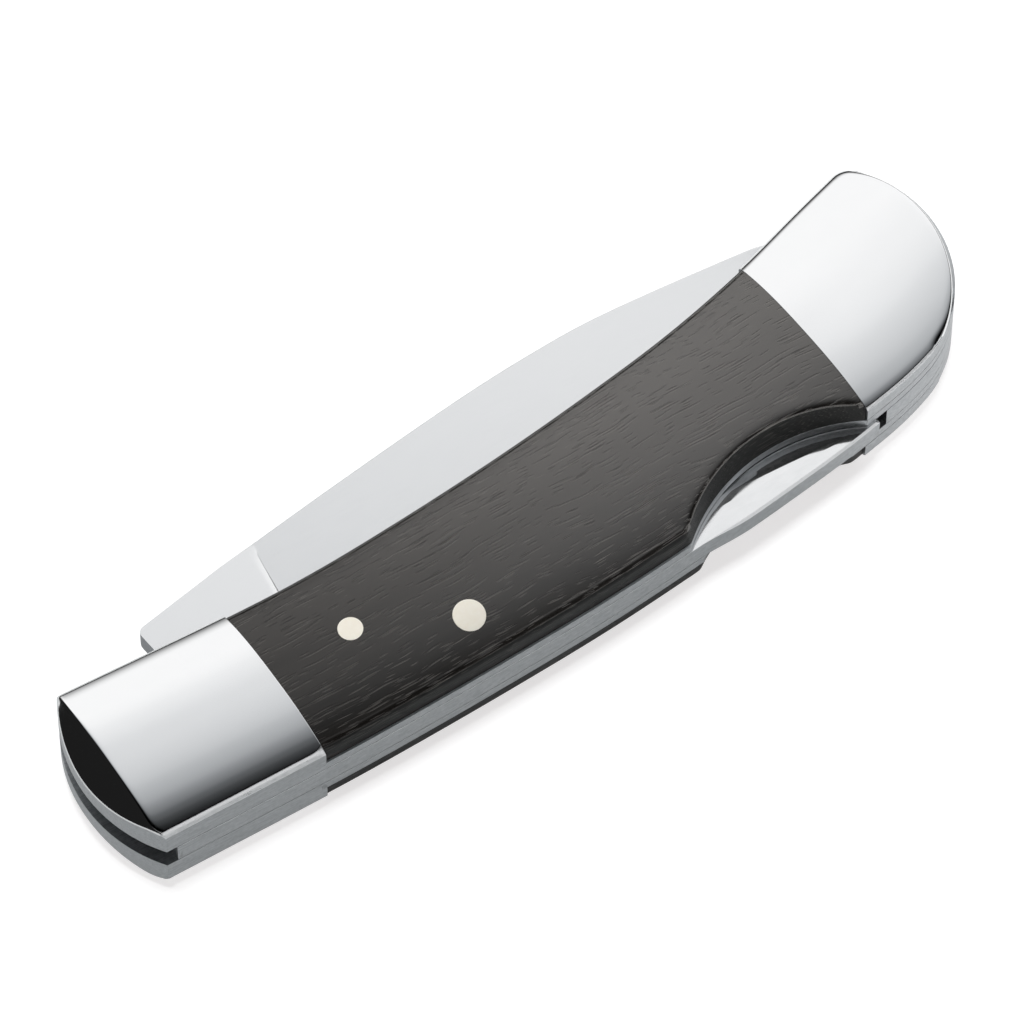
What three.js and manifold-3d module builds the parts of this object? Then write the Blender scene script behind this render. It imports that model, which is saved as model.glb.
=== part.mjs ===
// Folding pocket knife with a back lock, closed and lying on its side.
// Millimetres, +Z up. The pivot end points to -X, the butt to +X, the lock bar lies along the -Y edge
// and the blade's spine stands out of the +Y edge. The handle is mirrored about its middle plane.
import * as THREE from 'three';
import { mergeVertices } from 'three/addons/utils/BufferGeometryUtils.js';
import Module from 'manifold-3d';

const wasm = await Module();
wasm.setup();

// Thicknesses, counted from the middle plane of the blade
const bladeThick = 2.5;
const washerThick = 0.12;
const runningGap = 0.03;
const linerThick = 1.2;
const crownHalf = 6.4; // middle plane to the flat land along the middle of each side
const crownRise = 1.65; // how far the land stands above the long edges
const landShare = 0.2; // flat part of the handle's half width
const slotHalf = bladeThick / 2 + washerThick + runningGap;
const linerHalf = slotHalf + linerThick;

// Long edges of the handle at matching stations, from the pivot end to the butt
const backEdge = [
  [-53.0, -15.75], [-47.17, -15.7], [-29.2, -15.57], [-19.0, -15.27], [-8.0, -14.72], [3.0, -13.95],
  [13.5, -12.78], [23.8, -11.4], [33.8, -9.7], [42.4, -7.3], [54.0, -1.6],
];
const openEdge = [
  [-53.9, 2.5], [-48.1, 2.45], [-30.45, 1.97], [-20.5, 2.1], [-9.8, 2.93], [1.0, 4.13],
  [11.3, 5.64], [21.3, 7.45], [31.05, 9.98], [40.3, 13.12], [54.0, 17.6],
];
const bevelStation = 1;
const frontJoint = 2;
const rearJoint = 8;
const buttStation = 9;
const lastStation = backEdge.length - 1;

// Rounded ends, as seen from above
const noseCentre = [-34.5, -5.4];
const noseRadius = 15.85;
const buttCentre = [36.95, 4.55];
const buttRadius = 13.05;
const buttLeanFrom = 4.6; // height above which the wall round the butt leans in
const buttLean = 0.375; // per millimetre of height
const buttCornerRadius = 2.0; // rounding where the open edge meets the butt

// Bolsters and scales
const bolsterWallTop = 4.35;
const bolsterEdgeIn = 0.5;
const bevelSlope = 1.0; // fall of the bevel at the nose, per millimetre
const rearWallTop = 4.5;
const rearEdgeIn = 0.25;
const buttFall = 0.62; // how far the crown has sunk at the last station
const scaleFoot = 0.25; // ledge of liner left showing along the scale
const scaleCreaseIn = 0.32; // inset of the scale where its upright side turns into the shoulder
const scaleCreaseTop = 4.7;
const scaleEdgeIn = 1.0;
const seam = 0.02; // hairline between a bolster and its scale

// Thumb notch in the back edge
const notchCentre = [25.28, -26.18];
const lowerNotchCentre = [25.4, -27.4]; // the notch is shallower on the underside
const notchRadius = 18.6;
const notchFlare = 0.18; // outward lean of the scale's wall per millimetre of height

// Blade
const pivot = [-40.7, -5.1];
const openAngle = 170;
const tangRadius = 6.2;
const tangRound = [0.5, 1.72]; // where the round of the tang starts and ends, in half turns
const plungeX = 16.7; // from the pivot to the start of the grind
const bladeSpine = [
  [13.3, 13.35], [27.8, 15.7], [42.3, 17.8], [51.7, 18.72], [58.7, 18.96], [69.5, 18.52], [76, 18.0],
];
const bladeTip = [80.2, 16.9];
const bladeEdge = [[plungeX, -1.8], [29, -1.3], [42, 0.4], [54, 3.0], [64, 6.3], [73, 11.0]];
const edgeReach = 0.985; // share of the edge's curve that is ground before the rounded point
const heel = [[6.6, -4.4], [12.6, -3.0], [14.6, -1.0]];
const edgeThick = 0.2;
const tipThick = 1.1;
const nickSize = [5.6, 1.1, 0.45];
const nickPlace = [38, 14.6];
const nickTurn = 6; // degrees, along the spine
const nickSunk = 0.12; // centre of the nick's bowl, below the blade's face

// Lock bar
const barSideGap = 0.1;
const barFrontX = -45.4;
const barRearX = 35.2;
const barProud = 0.42; // how far the bar stands out of the back edge from the thumb notch on
const proudRun = [13.2, 19.5]; // where it rises to that
const lockGap = 0.3; // bar's front face to the blade's lock face
const toothLength = 3.3;
const toothGap = 0.1; // tooth to the round of the tang
const lockDepth = 1.2; // depth of the lock notch below the round of the tang
const toothSide = 0.2; // room behind the tooth in the lock notch
const barDepths = [ // width of the bar inward of the back edge, from the tail to the tooth
  [barRearX, 3.4], [notchCentre[0], 3.8], [8, 4.4], [-20, 4.4], [-33, 4.4], [-36, 2.4],
  [barFrontX + toothLength, 2.4],
];
const barPinPlace = [-10.6, -10.27];
const barPinRadius = 1.62;
const barBoss = 3.1;

// Pins and washers
const pinGap = 0.05;
const pivotRadius = 1.6;
const pivotHalf = 4.9;
const washerRadius = 4.4;
const scalePinPlace = [-21.12, -6.0];
const scalePinRadius = 1.25;
const buttPins = [[45.2, 8.6], [44.6, -1.6]];
const buttPinRadius = 1.25;
const buttPinHalf = 4.6;

// Butt spacer and back spring
const spacerNoseX = 36.4;
const spacerNoseTop = -1.2;
const tipClearance = 0.6;
const springThick = 0.8;
const springRun = [[8.6, -8.3], [14, -7.75], [22, -6.6], [30, -5.2], [37, -4.1], [42.2, -3.5]];

// Fineness of the shapes, and how far cutting shapes reach
const bolsterSteps = 8;
const scaleSteps = 24;
const edgeSteps = 32;
const bladeSteps = 24;
const barSteps = 40;
const springSteps = 20;
const notchSides = 96;
const wellSides = 360;
const fineSteps = 400;
const halvings = 40;
const tall = 3 * crownHalf;
const far = 60;
const over = 2;

const steel = (color, roughness) => new THREE.MeshStandardMaterial({ color, roughness, metalness: 1 });
const polishedSteel = steel(0xd9dadb, 0.08);
const satinSteel = steel(0xb4b6b8, 0.35);
const bladeSteel = steel(0xdfe0e1, 0.25);
const springSteel = steel(0x8f9296, 0.4);
const bronze = steel(0xb48a55, 0.35);
const paleAlloy = steel(0xeae3cf, 0.2);
const ebony = new THREE.MeshStandardMaterial({ color: 0x2e2724, roughness: 0.45, metalness: 0 });

const knife = new THREE.Group();

// A closed geometry made ready for cutting and joining
function solid(geometry) {
  geometry.deleteAttribute('normal');
  geometry.deleteAttribute('uv');
  const merged = mergeVertices(geometry, 1e-4);
  return new wasm.Manifold(new wasm.Mesh({
    numProp: 3,
    vertProperties: new Float32Array(merged.attributes.position.array),
    triVerts: new Uint32Array(merged.index.array),
  }));
}

function addPiece(name, shape, material) {
  const cut = shape.getMesh();
  const geometry = new THREE.BufferGeometry();
  geometry.setAttribute('position', new THREE.BufferAttribute(cut.vertProperties, 3));
  geometry.setIndex(new THREE.BufferAttribute(cut.triVerts, 1));
  geometry.computeVertexNormals();
  const mesh = new THREE.Mesh(geometry, material.clone());
  mesh.name = name;
  knife.add(mesh);
}

// The same piece on the other side of the middle plane
function mirrored(shape) {
  const cut = shape.getMesh();
  const geometry = new THREE.BufferGeometry();
  geometry.setAttribute('position', new THREE.BufferAttribute(cut.vertProperties.slice(), 3));
  geometry.setIndex(new THREE.BufferAttribute(cut.triVerts.slice().reverse(), 1));
  geometry.scale(1, 1, -1);
  return solid(geometry);
}

function addPair(name, shape, material) {
  addPiece(`${name}_top`, shape, material);
  addPiece(`${name}_bottom`, mirrored(shape), material);
}

// A flat outline given thickness between two heights
function plate(points, low, high) {
  const outline = new THREE.Shape(points.map((p) => new THREE.Vector2(p[0], p[1])));
  const geometry = new THREE.ExtrudeGeometry(outline, { depth: high - low, bevelEnabled: false });
  geometry.translate(0, 0, low);
  return solid(geometry);
}

// An upright pin or hole; topRadius differs from radius where the wall leans
function rod(place, radius, low, high, sides = 32, topRadius = radius) {
  const geometry = new THREE.CylinderGeometry(topRadius, radius, high - low, sides);
  geometry.rotateX(Math.PI / 2);
  geometry.translate(place[0], place[1], (low + high) / 2);
  return solid(geometry);
}

// A skin through closed rings of points, closed by a flat cap at each end
function loft(rings, capOutline) {
  const count = rings[0].length;
  const position = rings.flat().flatMap((p) => [p[0], p[1], p[2]]);
  const index = [];
  for (let i = 0; i + 1 < rings.length; i += 1) {
    for (let j = 0; j < count; j += 1) {
      const a = i * count + j;
      const b = i * count + ((j + 1) % count);
      index.push(a, b, b + count, a, b + count, a + count);
    }
  }
  const flat = capOutline.map((p) => new THREE.Vector2(p[0], p[1]));
  const last = (rings.length - 1) * count;
  for (const face of THREE.ShapeUtils.triangulateShape(flat, [])) {
    const [a, b, c] = THREE.ShapeUtils.isClockWise(flat) ? face.reverse() : face;
    index.push(c, b, a, last + a, last + b, last + c);
  }
  const geometry = new THREE.BufferGeometry();
  geometry.setAttribute('position', new THREE.BufferAttribute(new Float32Array(position), 3));
  geometry.setIndex(index);
  const shape = solid(geometry);
  if (shape.volume() > 0) return shape;
  geometry.setIndex([...index].reverse());
  return solid(geometry);
}

const backCurve = new THREE.SplineCurve(backEdge.map((p) => new THREE.Vector2(...p)));
const openCurve = new THREE.SplineCurve(openEdge.map((p) => new THREE.Vector2(...p)));
const edgeAt = (curve, station) => curve.getPoint(station / lastStation);

// Heights of the crowned side at a distance across the handle
function crownHeight(across, width) {
  const share = Math.abs((2 * across) / width - 1);
  const beyondLand = Math.max(0, (share - landShare) / (1 - landShare));
  return crownHalf - crownRise * beyondLand * beyondLand;
}

const crownShares = [0.86, 0.76, 0.65, 0.54, 0.43, 0.32, landShare];
function crownPoints(width, edgeIn) {
  const shares = [...crownShares, ...crownShares.map((s) => -s).reverse()];
  const inner = shares.map((s) => (width / 2) * (1 - s));
  return [edgeIn, ...inner, width - edgeIn].map((across) => [across, crownHeight(across, width)]);
}

// Half section of a front and a rear bolster, of a scale, and of the whole handle
const frontSection = (width) => [
  [0, linerHalf], [0, bolsterWallTop], ...crownPoints(width, bolsterEdgeIn),
  [width, bolsterWallTop], [width, linerHalf],
];
function rearSection(width, station) {
  const fall = buttFall * ((station - rearJoint) / (lastStation - rearJoint)) ** 2;
  return [
    [0, linerHalf], [0, rearWallTop - fall], ...crownPoints(width, rearEdgeIn).map(([s, z]) => [s, z - fall]),
    [width, rearWallTop - fall], [width, linerHalf],
  ];
}
const scaleSection = (width) => [
  [scaleFoot, linerHalf], [scaleCreaseIn, scaleCreaseTop], ...crownPoints(width, scaleEdgeIn),
  [width - scaleCreaseIn, scaleCreaseTop], [width - scaleFoot, linerHalf],
];
function handleSection(width) {
  const top = crownPoints(width, 0);
  return [...top, ...top.map((p) => [p[0], -p[1]]).reverse()];
}

// A section carried along the handle between two stations, drawn in by gap at each end
function alongHandle(section, from, to, steps, gap = 0) {
  const rings = [];
  let outline;
  for (let i = 0; i <= steps; i += 1) {
    const station = from + ((to - from) * i) / steps;
    const back = edgeAt(backCurve, station);
    const open = edgeAt(openCurve, station);
    const width = back.distanceTo(open);
    const across = open.clone().sub(back).divideScalar(width);
    const inward = i === 0 ? gap : i === steps ? -gap : 0;
    const start = new THREE.Vector2(across.y, -across.x).multiplyScalar(inward).add(back);
    outline = section(width, station);
    rings.push(outline.map(([s, z]) => [start.x + across.x * s, start.y + across.y * s, z]));
  }
  return loft(rings, outline);
}

function arc(centre, radius, fromAngle, toAngle, steps) {
  const points = [];
  for (let i = 0; i <= steps; i += 1) {
    const angle = fromAngle + ((toAngle - fromAngle) * i) / steps;
    points.push([centre[0] + radius * Math.cos(angle), centre[1] + radius * Math.sin(angle)]);
  }
  return points;
}

function edgePoints(curve, from, to, steps) {
  const points = [];
  for (let i = 0; i <= steps; i += 1) {
    const p = edgeAt(curve, from + ((to - from) * i) / steps);
    points.push([p.x, p.y]);
  }
  return points;
}

// Where a long edge meets a circle: the station, found by halving
function stationOnCircle(curve, centre, radius, inside, outside) {
  let [a, b] = [inside, outside];
  for (let i = 0; i < halvings; i += 1) {
    const middle = (a + b) / 2;
    const p = edgeAt(curve, middle);
    if (Math.hypot(p.x - centre[0], p.y - centre[1]) < radius) a = middle;
    else b = middle;
  }
  return a;
}

const angleTo = (centre, p) => Math.atan2(p.y - centre[1], p.x - centre[0]);

// Nose: one arc between the two long edges
const noseOpen = stationOnCircle(openCurve, noseCentre, noseRadius, frontJoint, 0);
const noseBack = stationOnCircle(backCurve, noseCentre, noseRadius, frontJoint, 0);
const noseStart = angleTo(noseCentre, edgeAt(openCurve, noseOpen));
const noseEnd = angleTo(noseCentre, edgeAt(backCurve, noseBack)) + 2 * Math.PI;
const noseArc = arc(noseCentre, noseRadius, noseStart, noseEnd, 20);

// Butt: a small round from the open edge into one wide arc that runs out into the back edge
function cornerCentreAt(station) {
  const p = edgeAt(openCurve, station);
  const along = openCurve.getTangent(station / lastStation);
  return [p.x + along.y * buttCornerRadius, p.y - along.x * buttCornerRadius];
}
function findCornerStation() {
  let [a, b] = [rearJoint, lastStation];
  for (let i = 0; i < halvings; i += 1) {
    const middle = (a + b) / 2;
    const c = cornerCentreAt(middle);
    if (Math.hypot(c[0] - buttCentre[0], c[1] - buttCentre[1]) < buttRadius - buttCornerRadius) a = middle;
    else b = middle;
  }
  return a;
}
const cornerStation = findCornerStation();
const cornerCentre = cornerCentreAt(cornerStation);
const cornerStart = angleTo(cornerCentre, edgeAt(openCurve, cornerStation));
const cornerEnd = Math.atan2(cornerCentre[1] - buttCentre[1], cornerCentre[0] - buttCentre[0]);
const buttTangent = edgeAt(backCurve, buttStation);
const buttEnd = angleTo(buttCentre, buttTangent);
const buttArcIn = (inset) => [
  ...arc(cornerCentre, buttCornerRadius - inset, cornerStart, cornerEnd, 6).slice(0, -1),
  ...arc(buttCentre, buttRadius - inset, cornerEnd, buttEnd, 24).slice(0, -1),
];
const buttArc = buttArcIn(0);

const handleOutline = [
  ...noseArc.slice(0, -1),
  ...edgePoints(backCurve, noseBack, buttStation, edgeSteps),
  ...[...buttArc].reverse(),
  ...edgePoints(openCurve, cornerStation, noseOpen, edgeSteps).slice(1, -1),
];

// Everything outside the rounded nose, and everything outside the rounded butt
const beyondNose = plate([
  ...noseArc, [noseArc.at(-1)[0], -far], [noseCentre[0] - far, -far], [noseCentre[0] - far, far],
  [noseArc[0][0], far],
], -tall, tall);
const beyondButtIn = (inset) => [
  ...buttArcIn(inset), [buttTangent.x, buttTangent.y], [buttTangent.x, -far],
  [buttCentre[0] + far, -far], [buttCentre[0] + far, far], [buttArcIn(inset)[0][0], far],
];
const leanInset = buttLean * (crownHalf - buttLeanFrom);
const beyondButt = loft([[-tall, 0], [buttLeanFrom, 0], [crownHalf, leanInset], [tall, leanInset]]
  .map(([z, inset]) => beyondButtIn(inset).map(([x, y]) => [x, y, z])), beyondButtIn(0));

// Liners: the full outline with the thumb notch, drilled for every pin
function liner(notchPlace) {
  let shape = plate(handleOutline, slotHalf, linerHalf);
  const holes = [
    [pivot, pivotRadius], [barPinPlace, barPinRadius], [scalePinPlace, scalePinRadius],
    ...buttPins.map((place) => [place, buttPinRadius]),
  ];
  for (const [place, radius] of holes) {
    shape = shape.subtract(rod(place, radius + pinGap, 0, crownHalf));
  }
  return shape.subtract(rod(notchPlace, notchRadius, 0, crownHalf, notchSides));
}
addPiece('liner_top', liner(notchCentre), satinSteel);
addPiece('liner_bottom', mirrored(liner(lowerNotchCentre)), satinSteel);

// Front bolsters: crowned, with a crowned bevel falling to the rounded nose
function bevelSection(width, station) {
  const p = edgeAt(backCurve, station);
  const fall = bevelSlope * (edgeAt(backCurve, bevelStation).x - p.x);
  const lowered = [[-over, bolsterWallTop], [0, bolsterWallTop], ...crownPoints(width, bolsterEdgeIn),
    [width, bolsterWallTop], [width + over, bolsterWallTop]].map(([s, z]) => [s, z - fall]);
  return [...lowered, [width + over, tall], [-over, tall]];
}
function frontBolster() {
  const body = alongHandle(frontSection, 0, frontJoint, bolsterSteps);
  const bevel = alongHandle(bevelSection, 0, bevelStation, 1);
  return body.subtract(beyondNose)
    .subtract(bevel)
    .subtract(rod(pivot, pivotRadius + pinGap, 0, pivotHalf + pinGap));
}
addPair('front_bolster', frontBolster(), polishedSteel);

// Rear bolsters: the same crown, sinking a little, run out through the rounded butt
function rearBolster() {
  let shape = alongHandle(rearSection, rearJoint, lastStation, bolsterSteps).subtract(beyondButt);
  for (const place of buttPins) {
    shape = shape.subtract(rod(place, buttPinRadius + pinGap, 0, buttPinHalf + pinGap));
  }
  return shape;
}
addPair('rear_bolster', rearBolster(), polishedSteel);

// Scales: crowned dark wood between the bolsters, set in a little from the liners
const notchTopRadius = notchRadius + notchFlare * (tall - linerHalf);
function scale(notchPlace) {
  return alongHandle(scaleSection, frontJoint, rearJoint, scaleSteps, seam)
    .subtract(rod(notchPlace, notchRadius, linerHalf, tall, notchSides, notchTopRadius))
    .subtract(rod(scalePinPlace, scalePinRadius + pinGap, 0, tall))
    .subtract(rod(barPinPlace, barPinRadius + pinGap, 0, tall));
}
addPiece('scale_top', scale(notchCentre), ebony);
addPiece('scale_bottom', mirrored(scale(lowerNotchCentre)), ebony);

// Pins: the two that show are dressed flush with the crown, the others end inside the bolsters
const handleBlock = alongHandle(handleSection, frontJoint, rearJoint, scaleSteps);
addPair('scale_pin', rod(scalePinPlace, scalePinRadius, slotHalf, tall).intersect(handleBlock), paleAlloy);
addPiece('lock_bar_pin', rod(barPinPlace, barPinRadius, -tall, tall).intersect(handleBlock), paleAlloy);
addPiece('pivot_pin', rod(pivot, pivotRadius, -pivotHalf, pivotHalf), springSteel);
buttPins.forEach((place, i) => {
  addPiece(`butt_pin_${i + 1}`, rod(place, buttPinRadius, -buttPinHalf, buttPinHalf), springSteel);
});

// Washers on both sides of the tang
const washer = rod(pivot, washerRadius, slotHalf - washerThick, slotHalf)
  .subtract(rod(pivot, pivotRadius + pinGap, 0, tall));
addPair('washer', washer, bronze);

// Points given from the pivot, turned about it by an angle in degrees
function aboutPivot(points, degrees = 0) {
  const angle = THREE.MathUtils.degToRad(degrees);
  return points.map(([x, y]) => [
    pivot[0] + x * Math.cos(angle) - y * Math.sin(angle),
    pivot[1] + x * Math.sin(angle) + y * Math.cos(angle),
  ]);
}

// Height of the back edge at a place along the handle
const backPoints = edgePoints(backCurve, 0, lastStation, fineSteps);
function backAt(x) {
  const i = backPoints.findIndex((p) => p[0] > x);
  const [a, b] = [backPoints[i - 1], backPoints[i]];
  return a[1] + ((b[1] - a[1]) * (x - a[0])) / (b[0] - a[0]);
}

// Tang, cut by the lock notch where the tooth drops in when the blade is open, and by a seat under the
// tooth that leaves room for the bar's whole travel when the blade is closed
const lockFaceX = barFrontX - lockGap - pivot[0];
const lockFaceY = backAt(barFrontX) - pivot[1];
const lockFloor = -(tangRadius - lockDepth);
const notchRearX = barFrontX + toothLength + toothSide - pivot[0];
const clearOfTang = -2 * tangRadius;
function tang() {
  const corner = aboutPivot([[lockFaceX, lockFaceY]], -openAngle)[0];
  const spineStart = aboutPivot(bladeSpine)[0];
  const body = plate([
    corner,
    ...aboutPivot(arc([0, 0], tangRadius, Math.PI * tangRound[0], Math.PI * tangRound[1], 40)),
    ...aboutPivot(heel),
    ...aboutPivot([bladeEdge[0]]),
    ...aboutPivot([[plungeX, spineHeight(plungeX)]]),
    spineStart,
  ], -bladeThick / 2, bladeThick / 2);
  const lockNotch = [
    [lockFaceX, lockFaceY - over], [notchRearX, lockFaceY - over], [notchRearX, lockFloor],
    [lockFaceX, lockFloor],
  ];
  const closedSeat = [
    [clearOfTang, lockFloor], [clearOfTang, clearOfTang], [notchRearX, clearOfTang], [notchRearX, lockFloor],
  ];
  return body
    .subtract(plate(aboutPivot(lockNotch, -openAngle), -tall, tall))
    .subtract(plate(aboutPivot(closedSeat), -tall, tall));
}

// Spine and edge of the ground part, both from the plunge to the tip
const spineCurve = new THREE.SplineCurve([...bladeSpine, bladeTip].map((p) => new THREE.Vector2(...p)));
const edgeCurve = new THREE.SplineCurve([...bladeEdge, bladeTip].map((p) => new THREE.Vector2(...p)));
function spineHeight(x) {
  const points = spineCurve.getPoints(fineSteps);
  const i = points.findIndex((p) => p.x > x);
  const [a, b] = [points[i - 1], points[i]];
  return a.y + ((b.y - a.y) * (x - a.x)) / (b.x - a.x);
}
function groundBlade() {
  const rings = [];
  for (let i = 0; i <= bladeSteps; i += 1) {
    const share = i / bladeSteps;
    const edge = edgeCurve.getPoint(share * edgeReach);
    const spineX = plungeX + (bladeTip[0] - plungeX) * share;
    const spineY = i === bladeSteps ? bladeTip[1] : spineHeight(spineX);
    const thick = bladeThick + (tipThick - bladeThick) * share ** 3;
    const [[ex, ey], [sx, sy]] = aboutPivot([[edge.x, edge.y], [spineX, spineY]]);
    rings.push([
      [ex, ey, -edgeThick / 2], [sx, sy, -thick / 2], [sx, sy, thick / 2], [ex, ey, edgeThick / 2],
    ]);
  }
  return loft(rings, [[0, -edgeThick / 2], [1, -tipThick / 2], [1, tipThick / 2], [0, edgeThick / 2]]);
}
function nailNick() {
  const geometry = new THREE.SphereGeometry(1, 20, 10);
  geometry.scale(...nickSize);
  geometry.rotateZ(THREE.MathUtils.degToRad(nickTurn));
  const [x, y] = aboutPivot([nickPlace])[0];
  geometry.translate(x, y, -bladeThick / 2 + nickSunk);
  return solid(geometry);
}
const blade = tang().add(groundBlade()).subtract(nailNick())
  .subtract(rod(pivot, pivotRadius + pinGap, -tall, tall));
addPiece('blade', blade, bladeSteel);

// Lock bar: a long lever along the back, with its tooth at the front, a boss at its pin and the thumb's
// tail at the rear
function lockBar() {
  const outer = [];
  for (let i = 0; i <= barSteps; i += 1) {
    const x = barFrontX + ((barRearX - barFrontX) * i) / barSteps;
    outer.push([x, backAt(x) - barProud * THREE.MathUtils.smoothstep(x, ...proudRun)]);
  }
  const inner = barDepths.map(([x, depth]) => [x, backAt(x) + depth]);
  const toothTip = pivot[1] - tangRadius - toothGap;
  const tooth = [[barFrontX + toothLength, toothTip], [barFrontX, toothTip]];
  const half = slotHalf - barSideGap;
  return plate([...outer, ...inner, ...tooth], -half, half)
    .add(rod(barPinPlace, barBoss, -half, half))
    .subtract(rod(barPinPlace, barPinRadius + pinGap, -tall, tall));
}
addPiece('lock_bar', lockBar(), satinSteel);

// Back spring: a leaf held in the butt spacer that bears on the bar behind its pin
const springCurve = new THREE.SplineCurve(springRun.map((p) => new THREE.Vector2(...p)));
function springStrip(thick, half) {
  const sides = [[], []];
  for (let i = 0; i <= springSteps; i += 1) {
    const p = springCurve.getPoint(i / springSteps);
    const along = springCurve.getTangent(i / springSteps);
    sides[0].push([p.x + (along.y * thick) / 2, p.y - (along.x * thick) / 2]);
    sides[1].unshift([p.x - (along.y * thick) / 2, p.y + (along.x * thick) / 2]);
  }
  return plate([...sides[0], ...sides[1]], -half, half);
}
addPiece('back_spring', springStrip(springThick, slotHalf - barSideGap), springSteel);

// Butt spacer between the liners: clear of the blade's tip, of the bar's tail and of the pins
function buttSpacer() {
  const tipReach = Math.hypot(...bladeTip) + tipClearance;
  const nose = plate([
    [spacerNoseX, spacerNoseTop], [spacerNoseX, -far], [far, -far], [far, spacerNoseTop],
  ], -tall, tall);
  const well = rod(pivot, tipReach, -tall, tall, wellSides).subtract(nose);
  let shape = plate(handleOutline, -slotHalf, slotHalf)
    .subtract(well)
    .subtract(springStrip(springThick + 2 * pinGap, tall));
  for (const place of buttPins) {
    shape = shape.subtract(rod(place, buttPinRadius + pinGap, -tall, tall));
  }
  return shape;
}
addPiece('butt_spacer', buttSpacer(), satinSteel);

// The origin is under the middle of the knife's box, on the surface it lies on
const box = new THREE.Box3().setFromObject(knife);
const middle = box.getCenter(new THREE.Vector3());
knife.position.set(-middle.x, -middle.y, -box.min.z);

export default knife;
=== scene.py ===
import math

import bmesh
import bpy
import numpy as np
from mathutils.geometry import tessellate_polygon
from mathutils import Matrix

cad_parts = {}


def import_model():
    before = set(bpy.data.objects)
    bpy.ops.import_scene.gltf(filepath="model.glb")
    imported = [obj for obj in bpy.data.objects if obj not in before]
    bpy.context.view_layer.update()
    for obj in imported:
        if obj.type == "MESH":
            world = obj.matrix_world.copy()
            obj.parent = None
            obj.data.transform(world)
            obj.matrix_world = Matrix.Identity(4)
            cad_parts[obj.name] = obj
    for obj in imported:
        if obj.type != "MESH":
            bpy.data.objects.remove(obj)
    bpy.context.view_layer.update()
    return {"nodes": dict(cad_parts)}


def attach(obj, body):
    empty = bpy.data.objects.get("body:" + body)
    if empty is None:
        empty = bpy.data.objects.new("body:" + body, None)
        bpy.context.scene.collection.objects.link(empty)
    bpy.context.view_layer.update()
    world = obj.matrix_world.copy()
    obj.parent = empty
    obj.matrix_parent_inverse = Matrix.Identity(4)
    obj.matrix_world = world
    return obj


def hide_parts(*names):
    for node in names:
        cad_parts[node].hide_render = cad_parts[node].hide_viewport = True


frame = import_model()
print("frame loaded with", len(frame["nodes"]), "nodes")

# Shapes are worked out in millimetres from the blade's middle plane, and shifted into the frame at the end
handle = {
    "shift": (0.172163, 0.6223407, 6.4),
    "backEdge": np.array([
        [-53.0, -15.75], [-47.17, -15.7], [-29.2, -15.57], [-19.0, -15.27], [-8.0, -14.72], [3.0, -13.95],
        [13.5, -12.78], [23.8, -11.4], [33.8, -9.7], [42.4, -7.3], [54.0, -1.6]]),
    "openEdge": np.array([
        [-53.9, 2.5], [-48.1, 2.45], [-30.45, 1.97], [-20.5, 2.1], [-9.8, 2.93], [1.0, 4.13],
        [11.3, 5.64], [21.3, 7.45], [31.05, 9.98], [40.3, 13.12], [54.0, 17.6]]),
    "frontJoint": 2.0, "rearJoint": 8.0, "buttStation": 9.0, "lastStation": 10.0,
    "crownHalf": 6.4, "crownRise": 1.65, "crownPower": 2.6,
    "slotHalf": 1.4, "linerHalf": 2.6,
    "noseCentre": (-34.5, -5.4), "noseRadius": 15.84,
    "buttCentre": (36.95, 4.55), "buttRadius": 13.043, "buttCorner": 2.0, "leanFrom": 4.6, "lean": 0.375,
    "notches": {"top": (25.28, -26.18), "bottom": (25.4, -27.4)}, "notchRadius": 18.6,
    "pivot": (-40.7, -5.1), "barPin": ((-10.6, -10.27), 1.62), "scalePin": ((-21.12, -6.0), 1.25),
}


def rail(points, station):
    # P1 + T1 w + (3(P2-P1) - 2T1 - T2) w^2 + (2(P1-P2) + T1 + T2) w^3, T half the chord of the neighbours
    station = np.asarray(station, float)
    last = len(points) - 1
    i = np.clip(np.floor(station).astype(int), 0, last - 1)
    w = (station - i)[..., None]
    p0, p1, p2, p3 = points[np.maximum(i - 1, 0)], points[i], points[i + 1], points[np.minimum(i + 2, last)]
    t1, t2 = (p2 - p0) / 2, (p3 - p1) / 2
    return p1 + t1 * w + (3 * (p2 - p1) - 2 * t1 - t2) * w ** 2 + (2 * (p1 - p2) + t1 + t2) * w ** 3


def backAt(station):
    return rail(handle["backEdge"], station)


def openAt(station):
    return rail(handle["openEdge"], station)


def ruled(station, across):
    # B(s) + a (O(s) - B(s)) / |O(s) - B(s)|, from the back edge B towards the open edge O
    back, away = backAt(station), openAt(station)
    width = np.linalg.norm(away - back, axis=-1)
    return back + (away - back) * (across / width)[..., None], width


def widthAt(station):
    return np.linalg.norm(openAt(station) - backAt(station), axis=-1)


def crown(across, width):
    # half - rise |2a/w - 1|^power
    fall = np.abs(2 * across / width - 1) ** handle["crownPower"]
    return handle["crownHalf"] - handle["crownRise"] * fall


def halving(isNear, near, far, rounds=40):
    # the place between near and far where isNear stops being true, by halving
    near, far = np.broadcast_arrays(np.asarray(near, float), np.asarray(far, float))
    for _ in range(rounds):
        middle = (near + far) / 2
        keep = isNear(middle)
        near, far = np.where(keep, middle, near), np.where(keep, far, middle)
    return (near + far) / 2


def distance(points, centre):
    return np.linalg.norm(points - np.asarray(centre), axis=-1)


def roundOver(depth, radius):
    # r - sqrt(r^2 - (r - d)^2): how far a quarter round drops at a distance d inside an edge
    inside = np.clip(radius - depth, 0, radius)
    return radius - np.sqrt(radius ** 2 - inside ** 2)


def quarter(depth, run):
    # 1 - sqrt(1 - (1 - d/run)^2): one at the edge, falling to nothing at the run
    share = np.clip(1 - depth / run, 0, 1)
    return 1 - np.sqrt(1 - share ** 2)


def softStep(value):
    value = np.clip(value, 0, 1)
    return value * value * (3 - 2 * value)


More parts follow.
